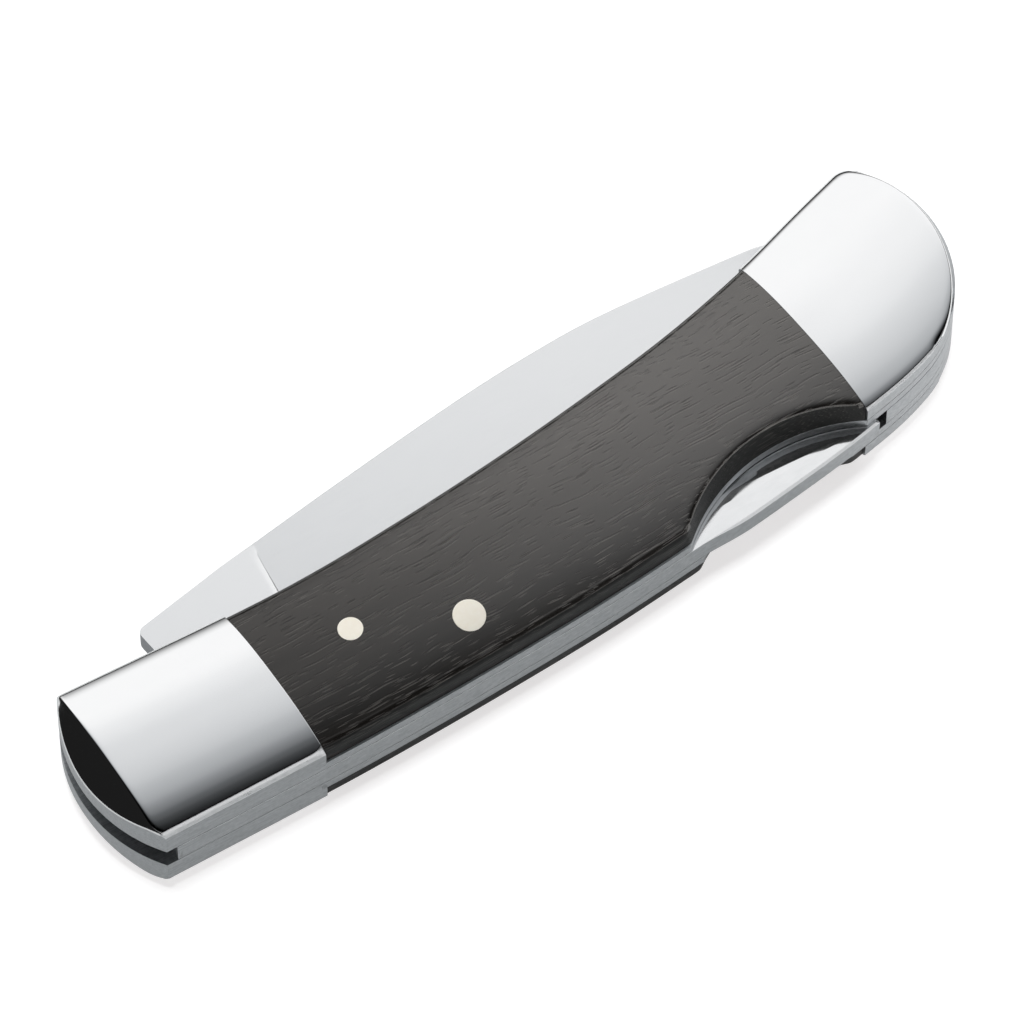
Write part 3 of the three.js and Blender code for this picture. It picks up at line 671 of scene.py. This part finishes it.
def scaleTop(looks, centre):
    length = handle["rearJoint"] - handle["frontJoint"]
    station = handle["frontJoint"] + length * np.linspace(0, 1, looks["columns"])
    width = widthAt(station)
    profile = looks["profile"]
    share = ((profile[:, 1] - profile[0, 1]) / (profile[-1, 1] - profile[0, 1]))[:, None]
    outerTop = crown(profile[-1, 0], width)
    topHeight = np.full_like(station, 6.0)
    for _ in range(4):
        radius = handle["notchRadius"] + looks["notchFlare"] * (topHeight - handle["linerHalf"])
        onNotch = np.clip(circleAcross(station, radius, centre), 1.0, None)
        topHeight = crown(onNotch, width) - looks["rimFall"]
    notchTop = circleAcross(station, radius, centre)
    inNotch = softStep((notchTop - looks["blendStart"]) / looks["blendRun"])
    foot = handle["linerHalf"]
    wallTop = outerTop + (topHeight - outerTop) * inNotch
    evenShare = np.linspace(0, 1, len(profile))[:, None]
    level = share + (evenShare - share) * inNotch
    wallHeight = foot + (wallTop - foot) * level
    wallRadius = handle["notchRadius"] + looks["notchFlare"] * (wallHeight - foot)
    wallAcross = softMax(profile[:, :1] + 0 * station, circleAcross(station, wallRadius, centre),
                         looks["cornerSoftness"])
    wallAcross -= looks["cornerSoftness"] ** 2 / (4 * np.maximum(0.3, np.abs(notchTop)))
    mu = easedShares(looks["rows"], looks["rowEase"])[1:-1, None]
    openProfile = profile[::-1]
    edge = wallAcross[-1]
    middle = edge + (width - openProfile[0, 0] - edge) * mu
    rim = looks["rimFall"] * quarter(middle - edge, looks["rimRun"]) * inNotch
    openTop = crown(width - openProfile[0, 0], width)
    across = np.concatenate([wallAcross, middle, width - openProfile[:, :1] + 0 * station])
    height = np.concatenate([wallHeight, crown(middle, width) - rim, foot + (openTop - foot) * share[::-1]])
    height -= looks["below"] * (height > outerTop)
    plan, _ = ruled(np.broadcast_to(station, across.shape), across)
    for column, sign in ((0, 1), (-1, -1)):
        toNext = plan[:, column + sign] - plan[:, column]
        plan[:, column] += looks["seam"] * toNext / np.linalg.norm(toNext, axis=1)[:, None]
    row = np.arange(len(across) - 1)[:, None]
    wallRows = len(profile) - 1
    upright = (row < looks["uprightRows"]) | (row >= len(row) - looks["uprightRows"])
    finish = (upright | ((row < wallRows) & (inNotch[:-1] > 0.5))).astype(int)
    return withHeight(plan, height), finish


for side, flip in sides:
    scaleGrid, scaleFinish = scaleTop(scaleLooks, handle["notches"][side])
    patches, caps = standing(scaleGrid, handle["linerHalf"], scaleFinish, 1)
    makePiece(f"scale_{side}_wood", patches, caps, [ebony, ebonyCut], "handle", [f"scale_{side}"],
              sharp=scaleLooks["sharpDegrees"], flipZ=flip)
print("scales made")

# Outline of the handle, shared by the liners and the butt spacer
def noseEnd(edgeAt):
    # the station where an edge meets the nose's circle
    return float(halving(lambda s: distance(edgeAt(s), handle["noseCentre"]) < handle["noseRadius"],
                         handle["frontJoint"], 0.0))


noseOpen, noseBack = noseEnd(openAt), noseEnd(backAt)
buttEnd = angleOf(handle["buttCentre"], backAt(handle["buttStation"]))
inNotchStation = 7.0


def notchEnd(centre, towards):
    return float(halving(lambda s: distance(backAt(s), centre) < handle["notchRadius"],
                         inNotchStation, towards))


def edgeRun(edgeAt, start, end, perStation=40):
    count = max(2, int(abs(end - start) * perStation))
    return edgeAt(np.linspace(start, end, count))


def buttArc():
    return np.concatenate([
        arcPoints(corner, handle["buttCorner"], cornerStart, cornerTurn, 14)[:-1],
        arcPoints(handle["buttCentre"], handle["buttRadius"], cornerTurn, buttEnd, 90)])


noseArc = arcPoints(handle["noseCentre"], handle["noseRadius"],
                    angleOf(handle["noseCentre"], openAt(noseOpen)),
                    angleOf(handle["noseCentre"], backAt(noseBack)) + 2 * math.pi, 90)


def linerLoop(centre):
    start, stop = notchEnd(centre, handle["frontJoint"]), notchEnd(centre, handle["buttStation"])
    notchArc = arcPoints(centre, handle["notchRadius"], angleOf(centre, backAt(start)),
                         angleOf(centre, backAt(stop)), 110)
    return np.concatenate([
        noseArc[:-1], edgeRun(backAt, noseBack, start)[:-1], notchArc[:-1],
        edgeRun(backAt, stop, handle["buttStation"]), buttArc()[::-1][:-1],
        edgeRun(openAt, cornerStation, noseOpen)[:-1]])


linerLooks = {"ledgeIn": 0.05, "slotIn": {"top": 0.09, "bottom": 0.02}}
frontX, rearX = (backAt(handle[joint])[0] for joint in ("frontJoint", "rearJoint"))


def makeLiner(side, flip):
    loop = linerLoop(handle["notches"][side])
    besideScale = (loop[:, 0] > frontX) & (loop[:, 0] < rearX)
    ledge = np.where(besideScale, linerLooks["ledgeIn"], 0.0)
    slotIn = linerLooks["slotIn"][side]
    patches, caps = plate(loop, handle["slotHalf"], handle["linerHalf"], slotIn, ledge, 0, 0)
    makePiece(f"liner_{side}_plate", patches, caps, [satin], "handle", [f"liner_{side}"],
              flipZ=flip)


for side, flip in sides:
    makeLiner(side, flip)
print("liners made")

# Butt spacer
spacerLooks = {"noseX": 36.4, "noseTop": -1.2, "wellRadius": 82.563, "edgeIn": 0.02, "half": 1.33}


def spacerLoop(looks):
    pivot = handle["pivot"]
    openStation = float(halving(
        lambda s: distance(openAt(s), pivot) < looks["wellRadius"],
        handle["rearJoint"] - 1, handle["lastStation"]))
    noseStation = float(halving(lambda s: backAt(s)[..., 0] > looks["noseX"],
                                handle["buttStation"], handle["rearJoint"] - 1))
    wellStart = math.asin((looks["noseTop"] - pivot[1]) / looks["wellRadius"])
    wellEnd = angleOf(pivot, openAt(openStation))
    return np.concatenate([
        edgeRun(openAt, openStation, cornerStation)[:-1], buttArc(),
        edgeRun(backAt, handle["buttStation"], noseStation),
        [[looks["noseX"], looks["noseTop"]]],
        arcPoints(pivot, looks["wellRadius"], wellStart, wellEnd, 40)[:-1]])


patches, caps = plate(spacerLoop(spacerLooks), -spacerLooks["half"], spacerLooks["half"],
                      spacerLooks["edgeIn"], spacerLooks["edgeIn"], 0, 0)
makePiece("buttSpacer_block", patches, caps, [satin], "handle", ["butt_spacer"])

# Lock bar
leverLooks = {
    "frontX": -45.4, "rearX": 35.2, "proud": 0.42, "proudRun": (13.2, 19.5), "toothLength": 3.3,
    "toothTip": -11.4,
    "depths": ((35.2, 3.4), (25.28, 3.8), (8, 4.4), (-20, 4.4), (-33, 4.4), (-36, 2.4), (-42.1, 2.4)),
    "low": -1.3, "high": 1.32, "edgeIn": 0.012, "thumbEdge": 0.24,
    "thumbDish": 0.12, "dishFrom": 10.0, "dishRun": 8.0, "columns": 260, "dishColumns": 40,
}


def backHeight(x):
    table = backAt(np.linspace(0, handle["lastStation"], 4000))
    return np.interp(x, table[:, 0], table[:, 1])


def makeLockBar(looks):
    x = np.linspace(looks["frontX"], looks["rearX"], looks["columns"])
    stepOut = softStep((x - looks["proudRun"][0]) / (looks["proudRun"][1] - looks["proudRun"][0]))
    outer = np.stack([x, backHeight(x) - looks["proud"] * stepOut], -1)
    depths = np.array(looks["depths"])
    fine = np.linspace(depths[0, 0], depths[2, 0], looks["dishColumns"])
    dished = np.stack([fine, np.interp(-fine, -depths[:3, 0], depths[:3, 1])], -1)
    depths = np.concatenate([dished, depths[3:]])
    inner = np.stack([depths[:, 0], backHeight(depths[:, 0]) + depths[:, 1]], -1)
    toothX = looks["frontX"] + looks["toothLength"]
    tooth = np.array([[toothX, looks["toothTip"]], [looks["frontX"], looks["toothTip"]]])
    loop = np.concatenate([outer, inner, tooth])
    rounding = np.full(len(loop), looks["edgeIn"])
    rounding[:len(x)] += (looks["thumbEdge"] - looks["edgeIn"]) * stepOut
    top = np.full(len(loop), looks["high"])
    dish = looks["thumbDish"] * softStep((fine - looks["dishFrom"]) / looks["dishRun"])
    top[len(x):len(x) + len(fine)] -= dish
    patches, caps = plate(loop, looks["low"], top, looks["edgeIn"], rounding, 0, 1, 2, steps=2)
    makePiece("lockBar_lever", patches, caps, [satin, barSteel, edgeSteel], "lock_bar", ["lock_bar"])


makeLockBar(leverLooks)
print("spacer and lock bar made")

# Blade, in millimetres from the pivot
bladeShape = {
    "half": 1.25, "edgeHalf": 0.1, "tipHalf": 0.55,
    "spine": np.array([[13.3, 13.35], [27.8, 15.7], [42.3, 17.8], [51.7, 18.72], [58.7, 18.96],
                       [69.5, 18.52], [76, 18.0], [80.2, 16.9]]),
    "edge": np.array([[16.7, -1.8], [29, -1.3], [42, 0.4], [54, 3.0], [64, 6.3], [73, 11.0], [80.2, 16.9]]),
    "edgeReach": 0.985, "plungeX": 16.7, "plungeBefore": 0.5, "plungeAfter": 0.35, "heelSlope": 0.381,
    "tangRadius": 6.2, "corner": (3.08, 11.307), "notchFace": (4.056, 5.792), "notchFloor": (0.3135, 5.132),
    "notchSide": (0.097, 6.361), "seat": ((-3.666, -5.0), (-1.2, -5.0), (-1.2, -6.083)),
    "heel": ((6.6, -4.4), (12.6, -3.0), (14.6, -1.0)), "tangEnd": 309.6,
    "holeRadius": 1.65, "spineIn": 0.1, "spineShare": 0.3, "cornerReach": 0.8,
    "rows": 70, "plungeColumns": 22, "columns": 230, "sharpDegrees": 26,
    "nick": {"centre": (38, 14.6), "reach": (5.6, 1.1), "turn": 6.0, "depth": 0.33},
}


def bladeFrom(looks):
    # half thickness = edge + (spine - edge) v, v the share from edge to spine, brought up to the full
    # thickness before the plunge by 1 - sqrt(1 - q^2), q the share of the way across the plunge. The upper
    # corner of the tang is rounded by (1-w)^2 A + 2w(1-w) P + w^2 B.
    v = np.unique(np.concatenate([np.linspace(0, 1, looks["rows"]), [0.985, 0.994]]))[:, None]
    x0 = looks["plungeX"] - looks["plungeBefore"]
    x1 = looks["plungeX"] + looks["plungeAfter"]
    tipX = looks["spine"][-1, 0]
    plungeX = x0 + (x1 - x0) * np.linspace(0, 1, looks["plungeColumns"])
    u = np.concatenate([plungeX, x1 + (tipX - x1) * np.linspace(0, 1, looks["columns"])[1:]])
    table = rail(looks["spine"], np.linspace(0, len(looks["spine"]) - 1, 4000))
    spine = np.stack([u, np.interp(u, table[:, 0], table[:, 1])], -1)
    share = np.clip((u - looks["plungeX"]) / (tipX - looks["plungeX"]), 0, 1)
    edge = rail(looks["edge"], share * looks["edgeReach"] * (len(looks["edge"]) - 1))
    before = np.minimum(u - looks["plungeX"], 0)
    edge = edge + np.stack([before, -before * looks["heelSlope"]], -1)
    plan = edge + (spine - edge) * v[..., None]
    thick = looks["half"] + (looks["tipHalf"] - looks["half"]) * share ** 3
    ground = looks["edgeHalf"] + (thick - looks["edgeHalf"]) * v
    q = np.clip((u - x0) / (x1 - x0), 0, 1)
    half = looks["half"] - (looks["half"] - ground) * (1 - np.sqrt(1 - q ** 2))
    length = np.linalg.norm(spine - edge, axis=-1)
    spineRound = np.minimum(looks["spineIn"], looks["spineShare"] * length)
    half = half - roundOver((1 - v) * length, spineRound) * (u > x0)
    nick = looks["nick"]
    turnBy = math.radians(nick["turn"])
    dx, dy = plan[..., 0] - nick["centre"][0], plan[..., 1] - nick["centre"][1]
    alongNick = (dx * math.cos(turnBy) + dy * math.sin(turnBy)) / nick["reach"][0]
    acrossNick = (dy * math.cos(turnBy) - dx * math.sin(turnBy)) / nick["reach"][1]
    bowl = nick["depth"] * np.clip(1 - alongNick ** 2 - acrossNick ** 2, 0, None)
    shift = np.asarray(handle["pivot"])
    top, under = withHeight(plan + shift, half), withHeight(plan + shift, bowl - half)
    patches = [(top, 0), (under, 0)]
    for side in (0, -1):
        patches.append((np.stack([top[side], under[side]]), 0))
    patches.append((np.stack([top[:, -1], under[:, -1]]), 0))
    round1 = arcPoints((0, 0), looks["tangRadius"], math.pi / 2,
                       angleOf((0, 0), looks["seat"][0]) + 2 * math.pi, 60)
    round2 = arcPoints((0, 0), looks["tangRadius"], angleOf((0, 0), looks["seat"][2]),
                       math.radians(looks["tangEnd"] - 360), 24)
    corner = np.array(looks["corner"])
    before, after = np.array([looks["spine"][0], looks["notchFace"]]) - corner
    before, after = (corner + looks["cornerReach"] * way / np.linalg.norm(way) for way in (before, after))
    w = np.linspace(0, 1, 8)[:, None]
    rounded = (1 - w) ** 2 * before + 2 * w * (1 - w) * corner + w ** 2 * after
    loop = np.concatenate([
        rounded, [looks["notchFace"], looks["notchFloor"], looks["notchSide"]], round1,
        [looks["seat"][1]], round2, looks["heel"], plan[:, 0], [looks["spine"][0]]]) + shift
    hole = arcPoints(handle["pivot"], looks["holeRadius"], 0, 2 * math.pi, 49)[:-1]
    caps = [([loop, hole], looks["half"], 0), ([loop, hole], -looks["half"], 0)]
    # the lead faces take the second, dark material: painted shade standing in for the dark surroundings
    # they reflect
    lead = np.concatenate([loop[-2:], loop[:len(loop) - len(plan)]])
    patches.append((np.stack([withHeight(lead, looks["half"]), withHeight(lead, -looks["half"])]), 1))
    ring = np.concatenate([hole, hole[:1]])
    patches.append((np.stack([withHeight(ring, looks["half"]), withHeight(ring, -looks["half"])]), 0))
    return patches, caps


patches, caps = bladeFrom(bladeShape)
makePiece("blade_ground", patches, caps, [bladeSteel, springSteelAndShade], "blade", ["blade"],
          sharp=bladeShape["sharpDegrees"])
print("blade made")

# Pins that show in the scales
pinShape = {"edge": 0.05, "rings": 14, "sides": 72}


def crownAt(plan):
    # the station whose ruled line passes through a point, by halving on the side the point lies on
    def before(station):
        back, away = backAt(station), openAt(station)
        line, offset = away - back, plan - back
        return line[..., 0] * offset[..., 1] - line[..., 1] * offset[..., 0] < 0

    station = halving(before, np.full(plan.shape[:-1], handle["frontJoint"]), handle["rearJoint"])
    back = backAt(station)
    return crown(distance(plan, back), widthAt(station))


def pinHead(centre, radius, looks):
    # rings from the middle to the rim: height = crown, less a quarter round at the rim
    share = np.concatenate([np.linspace(0, 0.94, looks["rings"]), [0.96, 0.98, 0.993, 1.0]])[:, None]
    angle = np.linspace(0, 2 * math.pi, looks["sides"] + 1)
    plan = np.asarray(centre) + radius * np.stack([share * np.cos(angle), share * np.sin(angle)], -1)
    height = crownAt(plan) - roundOver(radius * (1 - share), looks["edge"])
    return withHeight(plan, height)


scaleHead = pinHead(*handle["scalePin"], pinShape)
pinFoot = withHeight(scaleHead[-1][:, :2], handle["slotHalf"])
for side, flip in sides:
    makePiece(f"scalePin_{side}", [(scaleHead, 0), (np.stack([scaleHead[-1], pinFoot]), 0)],
              [([pinFoot[:-1, :2]], handle["slotHalf"], 0)], [paleAlloy], "handle", [f"scale_pin_{side}"],
              flipZ=flip)
barHead = pinHead(*handle["barPin"], pinShape)
mirrorHead = barHead * (1, 1, -1)
makePiece("lockBarPin_rod", [(barHead, 0), (np.stack([barHead[-1], mirrorHead[-1]]), 0), (mirrorHead, 0)],
          [], [paleAlloy], "handle", ["lock_bar_pin"])
print("pins made")

# CAD nodes that stay as they are, and only get a finish
kept = {
    "pivot_pin": springSteelAndShade, "butt_pin_1": springSteelAndShade, "butt_pin_2": springSteelAndShade,
    "back_spring": springSteelAndShade, "washer_top": bronze, "washer_bottom": bronze,
}
for name, material in kept.items():
    slots = frame["nodes"][name].data.materials
    slots.clear()
    slots.append(material)

# Floor, overhead card, world and lamp
studio = {
    "floorSize": 6.0, "floorHeight": -0.00002,
    "floorTone": (0.46, 0.475, 0.475, 1), "floorLift": (0.685, 0.67, 0.67, 1),
    "mirrored": (0.022, 0.045, 0.2, 0.63),
    "cardHeight": 0.36, "cardX": (-0.7, 1.0), "cardY": (-0.6, 1.3), "cardMiddle": 0.05, "cardLean": 0.7,
    "leanMost": 0.078, "cardFar": (0.7, 1.25, 1.0, 0.1), "cool": 0.05, "rampFrom": -0.2, "rampTo": 0.4,
    "cardStops": ((-0.20, 0.0), (-0.155, 0.03), (-0.125, 0.08), (-0.095, 0.165), (-0.04, 0.365),
                  (0.04, 0.57), (0.154, 0.785), (0.24, 0.93), (0.34, 1.0)),
    "sky": ((0, 0, 1), 0.28, 0.42, 0.03, 1.0),
    "frontSide": ((0.2, -0.98, 0), 0.6, 0.8, 0.0, 1.0), "frontHeight": ((0, 0, 1), 0.08, 0.22, 0.0, 1.0),
    "shade": ((-0.93, 0.12, 0.33), 0.55, 0.9, 1.0, 0.0), "leastLight": 0.012,
    "sunFrom": (-0.02, 0.03, 1.0), "sunStrength": 2.0, "sunAngle": 14.0,
}


def flatObject(name, xs, ys, z):
    mesh = bpy.data.meshes.new(name)
    corners = [(xs[0], ys[0], z), (xs[1], ys[0], z), (xs[1], ys[1], z), (xs[0], ys[1], z)]
    mesh.from_pydata(corners, [], [(0, 1, 2, 3)])
    made = bpy.data.objects.new(name, mesh)
    bpy.context.scene.collection.objects.link(made)
    return made


half = studio["floorSize"] / 2
floor = flatObject("floor", (-half, half), (-half, half), studio["floorHeight"])
floorMaterial, tree, shader, place = startMaterial("floorPaper", Roughness=0.9)
shader.inputs["Base Color"].default_value = studio["floorTone"]
shader.inputs["Specular IOR Level"].default_value = 0.0
rays = node(tree, "LightPath").outputs
across = node(tree, "SeparateXYZ", {0: place}).outputs[0]
reflected = maths(tree, "MULTIPLY", ranged(tree, across, *studio["mirrored"]),
                  maths(tree, "MAXIMUM", rays["Is Glossy Ray"], rays["Is Transmission Ray"]))
seen = maths(tree, "MAXIMUM", rays["Is Camera Ray"], reflected)
lift = node(tree, "Emission", {"Color": studio["floorLift"], "Strength": seen})
total = node(tree, "AddShader", {0: shader.outputs[0], 1: lift.outputs[0]})
tree.links.new(total.outputs[0], tree.nodes["Material Output"].inputs["Surface"])
floor.data.materials.append(floorMaterial)

card = flatObject("overheadCard", studio["cardX"], studio["cardY"], studio["cardHeight"])
card.visible_camera = False
card.visible_shadow = False
cardMaterial, tree, shader, place = startMaterial("cardLight")
parts = node(tree, "SeparateXYZ", {0: place}).outputs
lean = maths(tree, "MULTIPLY", maths(tree, "SUBTRACT", parts[0], studio["cardMiddle"]), studio["cardLean"])
lean = maths(tree, "MINIMUM", lean, studio["leanMost"])
rampFrom, rampTo = studio["rampFrom"], studio["rampTo"]
reach = ranged(tree, maths(tree, "ADD", parts[1], lean), rampFrom, rampTo, 0.0, 1.0, "LINEAR")
ramp = node(tree, "ValToRGB", {0: reach})
stops = ramp.color_ramp.elements
for i, (where, level) in enumerate(studio["cardStops"]):
    share = (where - rampFrom) / (rampTo - rampFrom)
    stop = stops[i] if i < 2 else stops.new(share)
    stop.position = share
    cool = studio["cool"] * level * (1 - level)
    stop.color = (level - cool, level, level + cool, 1)
ramp.color_ramp.interpolation = "CARDINAL"
far = ranged(tree, parts[1], *studio["cardFar"])
glow = node(tree, "Emission", {"Color": ramp.outputs[0], "Strength": far})
tree.links.new(glow.outputs[0], tree.nodes["Material Output"].inputs["Surface"])
card.data.materials.append(cardMaterial)

world = bpy.data.worlds.new("studio")
bpy.context.scene.world = world
world.use_nodes = True
tree = world.node_tree
tree.nodes.clear()
direction = node(tree, "TexCoord").outputs["Generated"]


def facing(name):
    # level that runs from low to high as the direction's share along an axis goes from start to end
    axis, start, end, low, high = studio[name]
    return ranged(tree, vectors(tree, "DOT_PRODUCT", direction, axis, "Value"), start, end, low, high)


frontGlow = maths(tree, "MULTIPLY", facing("frontSide"), facing("frontHeight"))
level = maths(tree, "MAXIMUM", facing("sky"), frontGlow)
level = maths(tree, "MULTIPLY", level, facing("shade"))
level = maths(tree, "MAXIMUM", level, studio["leastLight"])
grey = node(tree, "CombineColor", {i: level for i in range(3)}).outputs[0]
light = node(tree, "Background", {"Color": grey, "Strength": 1.0})
white = node(tree, "Background", {"Color": (1, 1, 1, 1), "Strength": 1.0})
onCamera = node(tree, "LightPath").outputs["Is Camera Ray"]
mix = node(tree, "MixShader", {0: onCamera, 1: light.outputs[0], 2: white.outputs[0]})
node(tree, "OutputWorld", {"Surface": mix.outputs[0]})

sun = bpy.data.objects.new("softSun", bpy.data.lights.new("softSun", "SUN"))
sun.data.energy = studio["sunStrength"]
sun.data.angle = math.radians(studio["sunAngle"])
sunX, sunY, sunZ = studio["sunFrom"]
sun.rotation_euler = (math.acos(sunZ / math.hypot(sunX, sunY, sunZ)), 0, math.atan2(sunX, -sunY))
sun.visible_glossy = False
bpy.context.scene.collection.objects.link(sun)
bpy.context.scene.view_settings.view_transform = "Standard"
print("studio made")
